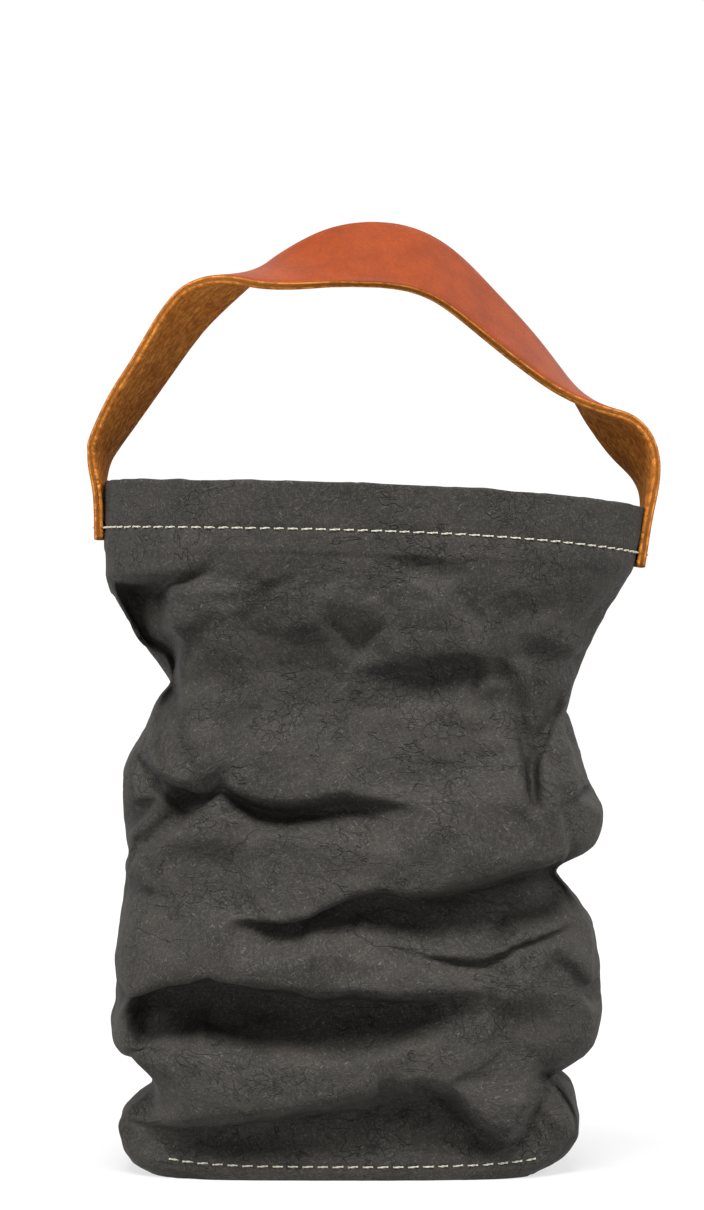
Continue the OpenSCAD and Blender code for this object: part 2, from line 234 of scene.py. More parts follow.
# Sharp creases on the front: the line, the depth and the width.
CREASES = [
    ([(-9, 153), (-4, 148), (0.5, 143.5), (2.5, 143), (6, 147), (12, 150)], 2.0, 1.2),
    ([(2, 143), (-1, 138), (-5, 131)], 0.9, 1.4),
    ([(-38, 149), (-26, 147), (-12, 144), (-3, 146)], 0.6, 1.4),
    ([(9, 149), (20, 148), (33, 146.5)], 0.5, 1.4),
    ([(-1, 127.6), (8, 127), (17, 126.3)], 0.7, 1.3),
    ([(39.5, 141), (37.5, 138), (38.5, 135), (41, 134.5)], 1.2, 1.3),
    ([(0.8, 97.8), (9, 92), (16, 87), (21, 83)], 1.4, 2.0),
    ([(3, 94), (10, 95), (18, 92)], 0.6, 1.4),
    ([(48.9, 26), (54, 22.5), (57.5, 18), (59.5, 12)], 1.4, 1.6),
    ([(46.5, 20), (52, 15), (54, 9)], 1.0, 1.6),
    ([(5, 118), (14, 113), (27, 111), (37, 108)], 0.5, 1.3),
]


# ---- Small tools ----

def smooth(t):
    """A soft step from 0 to 1."""
    t = np.clip(t, 0.0, 1.0)
    return t * t * (3 - 2 * t)


def spread(value, s):
    """A size along a fold: one number, or several spread evenly from its start to its end."""
    if isinstance(value, tuple):
        return np.interp(s, np.linspace(0, 1, len(value)), value)
    return value + 0.0 * s


def catmull(points, per=10):
    """A smooth line through given points."""
    p = np.array(points, float)
    p = np.vstack([2 * p[0] - p[1], p, 2 * p[-1] - p[-2]])
    out = []
    for i in range(1, len(p) - 2):
        for t in np.arange(per) / per:
            a = 2 * p[i]
            b = p[i + 1] - p[i - 1]
            c = 2 * p[i - 1] - 5 * p[i] + 4 * p[i + 1] - p[i + 2]
            d = 3 * p[i] - p[i - 1] - 3 * p[i + 1] + p[i + 2]
            out.append(0.5 * (a + b * t + c * t * t + d * t ** 3))
    out.append(p[-2])
    return np.array(out)


def near_line(x, z, line):
    """Signed distance to a line (left positive) and the place along it from 0 to 1."""
    a, b = line[:-1], line[1:]
    d = b - a
    length = np.linalg.norm(d, axis=1)
    total = np.concatenate([[0], np.cumsum(length)])
    best = np.full(len(x), 1e9)
    signed, place = np.zeros(len(x)), np.zeros(len(x))
    for i in range(len(d)):
        px, pz = x - a[i, 0], z - a[i, 1]
        t = np.clip((px * d[i, 0] + pz * d[i, 1]) / length[i] ** 2, 0, 1)
        qx, qz = px - t * d[i, 0], pz - t * d[i, 1]
        dist = np.hypot(qx, qz)
        side = np.sign(d[i, 0] * pz - d[i, 1] * px)
        hit = dist < best
        best = np.where(hit, dist, best)
        signed = np.where(hit, dist * side, signed)
        place = np.where(hit, (total[i] + t * length[i]) / total[-1], place)
    return signed, place


def corner_ids(mesh):
    """The vertex that each face corner belongs to."""
    ids = np.zeros(len(mesh.loops), int)
    mesh.loops.foreach_get("vertex_index", ids)
    return ids


def run_along(points):
    """Distance along a line of points."""
    return np.concatenate([[0], np.cumsum(np.linalg.norm(np.diff(points, axis=0), axis=1))])


def mean_run(grid, axis):
    """Distance along the rows or the columns of a grid, averaged over the others."""
    steps = np.linalg.norm(np.diff(grid, axis=axis), axis=2).mean(axis=1 - axis)
    return np.concatenate([[0], np.cumsum(steps)])


def new_mesh(name, verts, faces, uvs=None):
    """A mesh object from points in millimetres."""
    mesh = bpy.data.meshes.new(name)
    mesh.from_pydata([tuple(v) for v in np.asarray(verts) * MM], [], [tuple(f) for f in faces])
    if uvs is not None:
        layer = mesh.uv_layers.new(name="paper")
        layer.data.foreach_set("uv", np.asarray(uvs, float)[corner_ids(mesh)].ravel())
    mesh.polygons.foreach_set("use_smooth", [True] * len(mesh.polygons))
    obj = bpy.data.objects.new(name, mesh)
    bpy.context.scene.collection.objects.link(obj)
    return obj


def points_of(obj):
    """The corners of a mesh, in metres."""
    co = np.zeros(len(obj.data.vertices) * 3)
    obj.data.vertices.foreach_get("co", co)
    return co.reshape(-1, 3)


def apply_modifiers(obj):
    """Swaps the mesh for what its modifiers make of it."""
    dg = bpy.context.evaluated_depsgraph_get()
    mesh = bpy.data.meshes.new_from_object(obj.evaluated_get(dg))
    obj.modifiers.clear()
    old = obj.data
    obj.data = mesh
    bpy.data.meshes.remove(old)


# ---- Surface of the bag ----

# Rows of the wall, closer together at the base's and the hem's stitches, as shares of its height.
ROWS_Z = np.concatenate([
    [0, 0.7, 1.5, 2.4, 3.0, 3.6, 4.2, 5.0, 6.0, 7.2, 8.6], np.arange(10.2, 167, 1.6),
    [168.2, 168.9, 169.5, 170.1, 171, 172.4, 173.6, 174.6, 175.4, 176.0, 176.6, 177.4, 178.6],
    np.arange(180, 187, 1.5), [187.3, 188.25],
]) / RIM_LEFT
# Columns of one half of the tube, closer together at the seams, over a half girth of about 200 mm.
HALF_GIRTH = 200
SEAM_STEPS = np.array([0, 0.7, 1.5, 2.5, 3.8])
FRONT_COLUMNS = np.concatenate([
    SEAM_STEPS, np.linspace(5.5, 194.5, 112), HALF_GIRTH - SEAM_STEPS[::-1],
]) / HALF_GIRTH


def rim_height(u):
    """Height of the rim across the mouth: u runs from the left seam to the right seam."""
    return RIM_LEFT + (RIM_RIGHT - RIM_LEFT) * (0.3 * u + 0.7 * u ** 4)


def outline(points, z):
    """Reach of a side at a height, with the corners of the given outline rounded."""
    fine = np.arange(-6, 196, 0.25)
    p = np.array(points, float)
    reach = np.interp(fine, p[:, 0], p[:, 1])
    kernel = np.exp(-(np.arange(-8, 9) * 0.25 / 0.9) ** 2)
    reach = np.convolve(np.pad(reach, 8, mode="edge"), kernel / kernel.sum(), mode="valid")
    return np.interp(z, fine, reach)


def half_section(row, side):
    """One half of a level section, from the left seam to the right seam, evenly by length."""
    z_left, z_right = row * RIM_LEFT, row * RIM_RIGHT
    left, right = outline(LEFT_OUTLINE, z_left), outline(RIGHT_OUTLINE, z_right)
    reach = outline(FRONT_OUTLINE if side < 0 else BACK_OUTLINE, z_left)
    rise = max(0.0, z_left - SQUARE_FROM) / (RIM_LEFT - SQUARE_FROM)
    e = 2 / (SQUARE_BODY + (SQUARE_MOUTH - SQUARE_BODY) * rise ** 0.6)
    angle = np.linspace(0, math.pi, 721)
    c = -np.cos(angle)
    x = np.sign(c) * np.abs(c) ** e * np.where(c < 0, left, right)
    y = side * np.abs(np.sin(angle)) ** e * reach
    run = np.concatenate([[0], np.cumsum(np.hypot(np.diff(x), np.diff(y)))])
    run /= run[-1]
    x, y = np.interp(FRONT_COLUMNS, run, x), np.interp(FRONT_COLUMNS, run, y)
    u = (x + left) / (left + right)
    return np.stack([x, y, row * rim_height(u)], axis=1)


def base_grid():
    """The closed tube: rows from the floor to the rim, columns from the left seam round the
    front to the right seam, and on round the back."""
    rows = []
    for row in ROWS_Z:
        front, back = half_section(row, -1), half_section(row, 1)
        rows.append(np.vstack([front, back[-2:0:-1]]))
    return np.array(rows)


def across(grid):
    """Unit vectors along the columns (horizontal) and outwards."""
    t = np.roll(grid, -1, axis=1) - np.roll(grid, 1, axis=1)
    t[:, :, 2] = 0
    t /= np.linalg.norm(t, axis=2, keepdims=True)
    out = np.stack([t[:, :, 1], -t[:, :, 0], np.zeros(t.shape[:2])], axis=2)
    return t, out


# Each face: the axis that runs across it, and the direction it looks in.
FACES = {"front": (0, (0, -1)), "back": (0, (0, 1)), "left": (1, (-1, 0)), "right": (1, (1, 0))}


def fold(grid, base, tangent, out, face, f):
    """Pushes one fold into the surface."""
    axis, look = FACES[face]
    facing = out[:, :, 0] * look[0] + out[:, :, 1] * look[1]
    weight = smooth((facing - 0.02) / 0.5).ravel()
    x, z = base[:, :, axis].ravel(), base[:, :, 2].ravel()
    line = catmull(f["line"])
    d, s = near_line(x, z, line)
    wide, deep = spread(f["wide"], s), spread(f["deep"], s)
    slide = spread(f["slide"], s)
    d = d - slide
    lead, tail = f["ends"]
    env = smooth(s / max(lead, 1e-3)) * smooth((1 - s) / max(tail, 1e-3)) * weight
    fall, shelf = 0.22 * deep + 0.6, f.get("shelf", 0.35) * deep
    above = (1 - smooth(d / wide)) * (1 - smooth(-d / fall))
    below = smooth(-d / fall) * (1 - smooth((-d - shelf) / (deep - shelf)))
    # the rows next to the floor move least
    low = smooth((z - 2) / 9)
    raised = spread(f["out"], s) * above * (0.3 + 0.7 * low)
    sunk = spread(f["sink"], s) * below * (0.15 + 0.85 * low)
    push = env * (raised - sunk)
    lip = np.where(d > 0, 1 - smooth(d / (0.7 * wide)), 1 - smooth(-d / (0.4 * deep)))
    drawn = env * slide * lip
    i = np.clip((s * (len(line) - 1)).astype(int), 0, len(line) - 2)
    along = line[i + 1] - line[i]
    along /= np.linalg.norm(along, axis=1, keepdims=True) + 1e-9
    sign = 1 if face in ("front", "right") else -1
    shape = base.shape[:2]
    move_across = (drawn * along[:, 1]).reshape(shape)[:, :, None] * tangent * sign
    move_up = (-drawn * along[:, 0]).reshape(shape)
    direct = np.array([look[0], look[1], 0.0])
    grid += push.reshape(shape)[:, :, None] * direct + move_across
    grid[:, :, 2] += move_up


def facet_heights(u, v, cell, seed, size):
    """Crumpled-paper relief: flat facets between sharp creases, from -1 to 1."""
    rng = random.Random(seed)
    columns, rows = int(size[0] / cell) + 3, int(size[1] / cell) + 3
    spots, heights = [], []
    for i in range(columns):
        for j in range(rows):
            spots.append(Vector(((i - 1 + rng.random() * 0.9) * cell, (j - 1 + rng.random() * 0.9) * cell)))
            heights.append(rng.uniform(-1, 1))
    verts, _, tris, order, _, _ = delaunay_2d_cdt(spots, [], [], 0, 1e-6)
    heights = [heights[o[0]] for o in order]
    tree = BVHTree.FromPolygons([(p.x, p.y, h) for p, h in zip(verts, heights)], tris)
    down = Vector((0, 0, -1))
    made = np.zeros(len(u))
    for k, (a, b) in enumerate(zip(u, v)):
        hit = tree.ray_cast(Vector((float(a), float(b), 5)), down)[0]
        made[k] = hit.z if hit else 0.0
    return made


def paper_coordinates(grid):
    """The flat sheet's coordinates in millimetres: round the bag, and up its wall."""
    closed = np.concatenate([grid, grid[:, :1]], axis=1)
    return mean_run(closed, 1), mean_run(grid, 0)


def shaped_grid():
    """The tube with all its listed folds, and its outward directions before they went in."""
    base = base_grid()
    grid = base.copy()
    tangent, out = across(base)
    for face, folds in FOLDS.items():
        for f in folds:
            fold(grid, base, tangent, out, face, f)
    return grid, out


def dimple(grid, out):
    """Small dents and bulges of the front, pressed in after the cloth pass."""
    x, z = grid[:, :, 0].ravel(), grid[:, :, 2].ravel()
    front = smooth((-out[:, :, 1] - 0.02) / 0.5)
    for cx, cz, rx, rz, depth in DENTS:
        dent = np.exp(-((x - cx) / rx) ** 2 - ((z - cz) / rz) ** 2).reshape(front.shape)
        grid[:, :, 1] += dent * depth * front
    return grid


def creased(points, facing):
    """How deep the front's sharp creases are at these points, which may be off the front."""
    deep = np.zeros(len(points))
    for line, depth, width in CREASES:
        d, s = near_line(points[:, 0], points[:, 2], catmull(line))
        ends = smooth(s / 0.25) * smooth((1 - s) / 0.25)
        deep += np.exp(-np.abs(d) / width) * ends * depth
    return deep * smooth((-facing - 0.1) / 0.5)


def clear_of_bottle(grid, soft=1.5):
    """Push the walls out of the space that a bottle needs."""
    x, y = grid[:, :, 0] - BOTTLE_X, grid[:, :, 1]
    front = np.sqrt(np.maximum(BOTTLE_R ** 2 - x ** 2, 0))
    short = front - np.abs(y)
    push = np.where(front > 0, soft * np.log1p(np.exp(np.clip(short / soft, -30, 30))), 0)
    grid[:, :, 1] += np.sign(y) * push * (np.abs(y) > SEAM_ZONE)
    return grid


def calm(rows_z, low=6.0, high=168.0, soft=9.0):
    """How free the wall is at each row: held at the base and in the hem."""
    z = rows_z * RIM_LEFT
    return smooth((z - low) / soft) * smooth((high - z) / soft)


def crumple(grid, out):
    """Adds the broad and the middle crumples of handled paper."""
    u, v = paper_coordinates(grid)
    uu, vv = np.meshgrid(u[:-1], v)
    size = (u[-1], v[-1])
    free = calm(ROWS_Z)[:, None]
    for cell, depth, seed in ((30, 0.9, 3), (14, 0.55, 11)):
        h = facet_heights(uu.ravel(), vv.ravel(), cell, seed, size).reshape(uu.shape)
        # the tube closes, so the relief fades where the sheet's two edges meet
        close = smooth(uu / 12) * smooth((u[-1] - uu) / 12)
        grid += (h * depth * free * close)[:, :, None] * out
    return grid


CLOTH_STEPS = 24
# How far the cloth pass may move a point.
CLOTH_REACH = 3.5
# The negative shrinking makes the sheet grow.
CLOTH = dict(
    quality=5, mass=0.3, tension_stiffness=40, compression_stiffness=40, shear_stiffness=20,
    bending_stiffness=0.6, tension_damping=10, compression_damping=10, shear_damping=10,
    air_damping=5, pin_stiffness=1.0, shrink_min=-0.035,
)


def relax(grid, outwards):
    """Cloth pass: the sheet grows a little while its hem and base are held, and buckles."""
    rows, columns = grid.shape[:2]
    ids = np.arange(rows * columns).reshape(rows, columns)
    a, b = ids[:-1], np.roll(ids, -1, axis=1)[:-1]
    c, d = np.roll(ids, -1, axis=1)[1:], ids[1:]
    faces = np.stack([a, b, c, d], axis=-1).reshape(-1, 4)
    obj = new_mesh("cloth_pass", grid.reshape(-1, 3), faces)
    group = obj.vertex_groups.new(name="held")
    free = calm(ROWS_Z)
    for r in range(rows):
        group.add([int(i) for i in ids[r]], float(1 - 0.94 * free[r]), "REPLACE")
    cloth = obj.modifiers.new("cloth", "CLOTH")
    for key, value in CLOTH.items():
        setattr(cloth.settings, key, value)
    cloth.settings.vertex_group_mass = "held"
    cloth.settings.effector_weights.gravity = 0
    cloth.point_cache.frame_start = 1
    cloth.point_cache.frame_end = CLOTH_STEPS
    scene = bpy.context.scene
    for f in range(1, CLOTH_STEPS + 1):
        scene.frame_set(f)
    dg = bpy.context.evaluated_depsgraph_get()
    done = obj.evaluated_get(dg).to_mesh()
    co = np.zeros(len(done.vertices) * 3)
    done.vertices.foreach_get("co", co)
    scene.frame_set(1)
    mesh = obj.data
    bpy.data.objects.remove(obj)
    bpy.data.meshes.remove(mesh)
    moved = co.reshape(rows, columns, 3) / MM - grid
    # the silhouette keeps its given outline
    moved[:, :, 0] *= 1 - 0.85 * smooth((np.abs(outwards[:, :, 0]) - 0.35) / 0.5)
    far = np.linalg.norm(moved, axis=2, keepdims=True)
    return grid + moved * np.minimum(1, CLOTH_REACH / np.maximum(far, 1e-6))


# ---- The paper panels ----

RIM_FOLD_R = 0.75
FACING_IN = 1.5
ALLOWANCE_STEPS = (2.5, 5.3, 8.0)


def panel_columns(side):
    """Columns of one half of the tube, in the tube's own direction."""
    n = len(FRONT_COLUMNS)
    return np.arange(n) if side < 0 else np.append(np.arange(n - 1, 2 * n - 2), 0)


def finish_wall(wall, look, side):
    """The hem's double thickness, the rows that the stitches pull in, and the seams' grooves."""
    wall = wall.copy()
    depth = RIM_LEFT - ROWS_Z * RIM_LEFT
    swell = 0.35 * smooth((20.2 - depth) / 1.4)
    swell -= 0.28 * np.exp(-((depth - HEM_ROW) / 1.0) ** 2)
    swell -= 0.35 * np.exp(-((ROWS_Z * RIM_LEFT - BASE_ROW) / 0.9) ** 2)
    wall += swell[:, None, None] * look
    run = FRONT_COLUMNS * HALF_GIRTH
    groove = np.exp(-(run / 1.3) ** 2) + np.exp(-((HALF_GIRTH - run) / 1.3) ** 2)
    wall -= (0.9 * groove)[None, :, None] * look
    wall[:, 0, 1] = side * 0.08
    wall[:, -1, 1] = side * 0.08
    return wall


def panel_mesh(name, grid, out, side):
    """One paper panel: its wall, its side allowances, and the rim's fold with its facing."""
    cols = panel_columns(side)
    look = out[:, cols]
    wall = finish_wall(grid[:, cols], look, side)
    u, v = mean_run(wall, 1), mean_run(wall, 0)
    verts, uvs, faces = [], [], []
    rows, n = wall.shape[:2]

    def add(points, us, vs):
        first = len(verts)
        verts.extend(points)
        uvs.extend(zip(us, vs))
        return list(range(first, first + len(points)))

    body = [add(wall[r], u, [v[r]] * n) for r in range(rows)]
    strips = [body[r] for r in range(rows)]
    edge = wall[-1]
    for angle in (45, 90, 135, 180):
        a = math.radians(angle)
        step = edge - look[-1] * RIM_FOLD_R * (1 - math.cos(a))
        step[:, 2] += RIM_FOLD_R * math.sin(a)
        strips.append(add(step, u, [v[-1] + RIM_FOLD_R * a] * n))
    top = v[-1] + RIM_FOLD_R * math.pi
    for r in range(rows - 2, -1, -1):
        depth = (ROWS_Z[-1] - ROWS_Z[r]) * RIM_LEFT
        if depth > HEM_DEPTH:
            break
        wave = 0.35 * np.sin(u / 9.0 + side) * (depth / HEM_DEPTH) ** 2
        step = wall[r] - look[r] * (FACING_IN + 0.3 * (depth / HEM_DEPTH) ** 2 + np.abs(wave))[:, None]
        strips.append(add(step, u, [top + v[-1] - v[r]] * n))
    for low, high in zip(strips, strips[1:]):
        faces.extend((low[c], low[c + 1], high[c + 1], high[c]) for c in range(n - 1))
    last = int(np.argmax(ROWS_Z * RIM_LEFT > RIM_LEFT - HEM_DEPTH - 2))
    for end, sign in ((0, -1), (n - 1, 1)):
        before = [body[r][end] for r in range(last)]
        for s in ALLOWANCE_STEPS:
            points = wall[:last, end] - look[:last, end] * s
            now = add(points, [u[end] + sign * s] * last, v[:last])
            for r in range(last - 1):
                quad = (before[r], now[r], now[r + 1], before[r + 1])
                faces.append(quad if sign > 0 else quad[::-1])
            before = now
    return new_mesh(name, verts, faces, np.array(uvs) * MM), wall


def vertex_uvs(obj):
    """The sheet coordinates of each corner, in metres."""
    mesh = obj.data
    flat = np.zeros(len(mesh.loops) * 2)
    mesh.uv_layers["paper"].data.foreach_get("uv", flat)
    uv = np.zeros((len(mesh.vertices), 2))
    uv[corner_ids(mesh)] = flat.reshape(-1, 2)
    return uv


def finish_paper(obj, seed, side):
    """Rounds the sheet, crumples it finely, and gives it its thickness."""
    mod = obj.modifiers.new("round", "SUBSURF")
    mod.levels = 1
    mod.boundary_smooth = "PRESERVE_CORNERS"
    apply_modifiers(obj)
    uv = vertex_uvs(obj) / MM
    low = uv.min(axis=0)
    uv -= low
    size = uv.max(axis=0)
    mesh = obj.data
    normals = np.zeros(len(mesh.vertices) * 3)
    mesh.vertex_normals.foreach_get("vector", normals)
    normals = normals.reshape(-1, 3)
    co = points_of(obj)
    for cell, depth, k in ((6.5, 0.26, 1), (2.9, 0.12, 2)):
        h = facet_heights(uv[:, 0], uv[:, 1], cell, seed + k, size)
        co += normals * (h * depth * MM)[:, None]
    if side < 0:
        co[:, 1] += creased(co / MM, normals[:, 1]) * MM
    co[:, 2] = np.maximum(co[:, 2], 0)
    mesh.vertices.foreach_set("co", co.ravel())
    mesh.update()
    mod = obj.modifiers.new("thick", "SOLIDIFY")
    mod.thickness = PAPER_T * MM
    mod.offset = -1
    apply_modifiers(obj)
    for p in obj.data.polygons:
        p.use_smooth = True


def base_piece():
    """The base panel: a floor sheet with a low lip, sewn inside the walls."""
    low, high = CAD_BASE
    left, right = -low.x / MM - 0.3, high.x / MM - 0.3
    reach = high.y / MM - 0.3
    e = 2 / SQUARE_BODY
    angles = np.linspace(0, 2 * math.pi, 128, endpoint=False)
    c, s = np.cos(angles), np.sin(angles)
    x = np.sign(c) * np.abs(c) ** e * np.where(c < 0, left, right)
    y = np.sign(s) * np.abs(s) ** e * reach
    rim = np.stack([x, y], axis=1)
    verts, uvs = [(0, 0, 1.2)], [(0, 0)]
    rings = [0.12, 0.24, 0.36, 0.48, 0.6, 0.72, 0.84, 0.93, 0.98]
    lip = [(1.15, 0.997), (1.9, 1.0), (3.2, 1.0), (4.6, 1.0), (5.9, 0.998)]
    for k in rings:
        for p in rim * k:
            lift = 1.0 + 0.35 * math.sin(p[0] / 13) * math.cos(p[1] / 11) * (1 - k)
            verts.append((p[0], p[1], lift))
            uvs.append(tuple(p))
    for z, k in lip:
        for p in rim:
            verts.append((p[0] * k, p[1] * k, z))
            uvs.append(tuple(p * (1 + z / 60)))
    n = len(rim)
    faces = [(0, 1 + i, 1 + (i + 1) % n) for i in range(n)]
    for ring in range(len(rings) + len(lip) - 1):
        a = 1 + ring * n
        for i in range(n):
            j = (i + 1) % n
            faces.append((a + i, a + n + i, a + n + j, a + j))
    obj = new_mesh("base_sheet", verts, faces, np.array(uvs) * MM)
    mod = obj.modifiers.new("thick", "SOLIDIFY")
    mod.thickness = PAPER_T * MM
    mod.offset = 1
    apply_modifiers(obj)
    return obj


# ---- The strap ----

# Stations of the strap: its middle, and the direction across it.
LEFT_SEWN = [((-69.5, 0, 172.7), (0, -1, 0)), ((-69.6, 0, 179), (0, -1, 0)), ((-69.8, 0, 185), (0, -1, 0))]
RIGHT_SEWN = [
    ((82.0, 0, 185.4), (0.06, -1, 0.04)), ((81.3, 0, 179), (0, -1, 0)), ((80.3, 0, 172.4), (0, -1, 0)),
    ((79.2, 0, 165.2), (0, -1, 0)),
]
ARCH = [
    ((-70.0, 0, 190.5), (-0.06, -1, 0)), ((-69.4, -0.5, 196), (-0.16, -1, 0)),
    ((-67, -1.5, 201), (-0.28, -1, 0)), ((-60, -8, 212.7), (-0.4, -0.92, 0)),
    ((-54, -13, 221), (-0.42, -0.9, -0.03)), ((-46.7, -17.5, 232), (-0.52, -0.85, -0.04)),
    ((-40, -20.5, 239), (-0.6, -0.8, 0)), ((-34.5, -24, 242.5), (-0.52, -0.86, -0.03)),
    ((-28.5, -26.5, 244.2), (-0.42, -0.9, -0.15)), ((-22, -28, 244.8), (-0.36, -0.86, -0.36)),
    ((-14, -28.5, 246.5), (-0.28, -0.8, -0.53)), ((-5, -28, 249), (-0.2, -0.73, -0.65)),
    ((4.5, -27.5, 250), (-0.12, -0.71, -0.7)), ((15, -27, 249), (-0.06, -0.72, -0.69)),
    ((25.3, -24.5, 244.6), (-0.12, -0.78, -0.61)), ((36.3, -19.5, 234.9), (-0.13, -0.86, -0.5)),
    ((47, -14.5, 225.5), (-0.1, -0.9, -0.42)), ((56.4, -10, 217), (-0.08, -0.97, -0.23)),
    ((64.5, -7, 210.8), (0.04, -1, -0.07)), ((71, -4, 206), (0.22, -0.96, 0.2)),
    ((75.4, -2, 201), (0.33, -0.91, 0.25)), ((78.6, -1, 196), (0.3, -0.93, 0.2)),
    ((81, -0.3, 190.8), (0.16, -0.96, 0.1)),
]


def eased(line, times):
    """Takes the kinks out of a line of points, with both ends kept."""
    line = line.copy()
    for _ in range(times):
        line[1:-1] = (line[:-2] + 2 * line[1:-1] + line[2:]) / 4
    return line


def strap_frames(per=7):
    """Middle, tangent, direction across and outward direction along the whole strap."""
    stations = LEFT_SEWN + ARCH + RIGHT_SEWN
    middle = eased(catmull([s[0] for s in stations], per), 14)
    across_dir = eased(catmull([s[1] for s in stations], per), 20)
    tangent = np.gradient(middle, axis=0)
    tangent /= np.linalg.norm(tangent, axis=1, keepdims=True)
    across_dir -= tangent * (across_dir * tangent).sum(axis=1, keepdims=True)
    across_dir /= np.linalg.norm(across_dir, axis=1, keepdims=True)
    return middle, tangent, across_dir, np.cross(across_dir, tangent)


def strap_section():
    """The strap's section as (across, outward, part): part 0 is the grain and 1 the suede."""
    w, t = STRAP_W / 2, STRAP_T / 2
    top = [(x, t - 0.12 * (abs(x) / w) ** 6, 0) for x in np.linspace(-(w - 0.35), w - 0.35, 13)]
    edge = [(w - 0.08, t - 0.35, 0), (w, t * 0.4, 1), (w - 0.02, -t * 0.35, 1), (w - 0.12, -t + 0.25, 1)]
    under = [(x, -t, 1) for x in np.linspace(w - 0.5, -(w - 0.5), 13)]
    back = [(-x, y, 1) for x, y, _ in edge[::-1]]
    return top + edge + under + back


def strap_piece():
    """The whole strap as one band, with slightly wavering cut edges."""
    middle, tangent, side, outward = strap_frames()
    section = strap_section()
    rng = random.Random(21)
    n = len(section)
    run = run_along(middle)
    verts, uvs, faces, parts = [], [], [], []
    waver = [0.0, 0.0]
    for i in range(len(middle)):
        waver = [0.8 * w + rng.uniform(-0.05, 0.05) for w in waver]
        for w, t, _ in section:
            wide = w + (waver[0] if w > 0 else waver[1]) * (abs(w) / 12.5) ** 8
            p = middle[i] + side[i] * wide + outward[i] * t
            verts.append(p)
            uvs.append((run[i], w + (40 if t < 0 else 0)))
    for i in range(len(middle) - 1):
        for k in range(n):
            m = (k + 1) % n
            faces.append((i * n + k, (i + 1) * n + k, (i + 1) * n + m, i * n + m))
            parts.append(max(section[k][2], section[m][2]))
    faces.append(tuple(range(n)))
    faces.append(tuple(range(len(verts) - 1, len(verts) - n - 1, -1)))
    parts += [1, 1]
    obj = new_mesh("strap", verts, faces, np.array(uvs) * MM)
    obj.data.polygons.foreach_set("material_index", parts)
    return obj


# ---- The stitches ----

def stitch_points(centre, tangent, normal, length, slant, ply_r=0.15, sides=7, rings=13):
    """Two twisted plies of one stitch, arched with both ends in the paper."""
    side = np.cross(normal, tangent)
    verts, faces = [], []
    for ply in (0, 1):
        first = len(verts)
        for i in range(rings):
            t = -1 + 2 * i / (rings - 1)
            height = 0.15 - 0.6 * abs(t) ** 6
            axis = centre + tangent * (t * length / 2) + side * (slant * t) + normal * height
            turn = math.pi * ply + t * 3.4
            axis = axis + side * (0.13 * math.cos(turn)) + normal * (0.13 * math.sin(turn))
            for k in range(sides):
                a = 2 * math.pi * k / sides
                verts.append(axis + (side * math.cos(a) + normal * math.sin(a)) * ply_r)
        for i in range(rings - 1):
            for k in range(sides):
                m = (k + 1) % sides
                a = first + i * sides
                faces.append((a + k, a + m, a + sides + m, a + sides + k))
        faces.append(tuple(first + k for k in reversed(range(sides))))
        faces.append(tuple(first + (rings - 1) * sides + k for k in range(sides)))
    return verts, faces


def walk(path, pitch, reach=0.8):
    """Places and tangents every pitch along a path."""
    path = np.asarray(path, float)
    run = run_along(path)
    places = np.arange(pitch / 2, run[-1] - pitch / 2 + 1e-6, pitch)
    at = np.stack([np.interp(places, run, path[:, k]) for k in range(3)], axis=1)
    ahead = np.stack([np.interp(places + reach, run, path[:, k]) for k in range(3)], axis=1)
    behind = np.stack([np.interp(places - reach, run, path[:, k]) for k in range(3)], axis=1)
    tangent = ahead - behind
    return at, tangent / np.linalg.norm(tangent, axis=1, keepdims=True)


# Rows of the wall that the base's stitches can lie on.
LOW_ROWS = 25


def row_at(wall, height):
    """The wall's points at a height that depends on the place across."""
    made = []
    for c in range(wall.shape[1]):
        z = wall[:LOW_ROWS, c, 2]
        order = np.argsort(z)
        at = height(wall[3, c, 0])
        made.append([np.interp(at, z[order], wall[:LOW_ROWS, c, k][order]) for k in range(3)])
    return np.array(made)


def tree_of(obj):
    """A search tree of a piece's surface, in millimetres."""
    mesh = obj.data
    return BVHTree.FromPolygons([v.co / MM for v in mesh.vertices], [p.vertices for p in mesh.polygons])


def stitch_row(what, body, path, tree, outward, pitch=STITCH_PITCH):
    """A row of stitches along a path, each laid on the surface under it.

    It rides on its body, or stretches between the base and the mouth where body is None."""
    name = what + "_thread"
    rng = random.Random(len(name) * 7 + 1)
    at, tangents = walk(path, pitch)
    verts, faces = [], []
    for p, t in zip(at, tangents):
        look = np.array(outward(p), float)
        hit, normal, _, _ = tree.ray_cast(Vector(p + look * 4), Vector(-look), 9)
        if hit is None:
            continue
        normal = np.array(normal)
        if normal @ look < 0:
            normal = -normal
        normal = normal * 0.4 + look * 0.6
        t = t - normal * (t @ normal) / (normal @ normal)
        t /= np.linalg.norm(t)
        normal /= np.linalg.norm(normal)
        length = STITCH_LENGTH + rng.uniform(-0.25, 0.15)
        v, f = stitch_points(np.array(hit), t, normal, length, rng.uniform(0.02, 0.2))
        f = [tuple(k + len(verts) for k in face) for face in f]
        verts += v
        faces += f
    obj = new_mesh(name, verts, faces)
    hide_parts(what + "_stitching")
    if body is None:
        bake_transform(obj)
    else:
        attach(obj, body)
    return obj


# ---- Materials ----

def srgb(r, g, b):
    """A colour as a shader wants it, from its 0 to 255 values."""
    shares = [c / 255 for c in (r, g, b)]
    return tuple(c / 12.92 if c < 0.041 else ((c + 0.055) / 1.055) ** 2.4 for c in shares) + (1,)


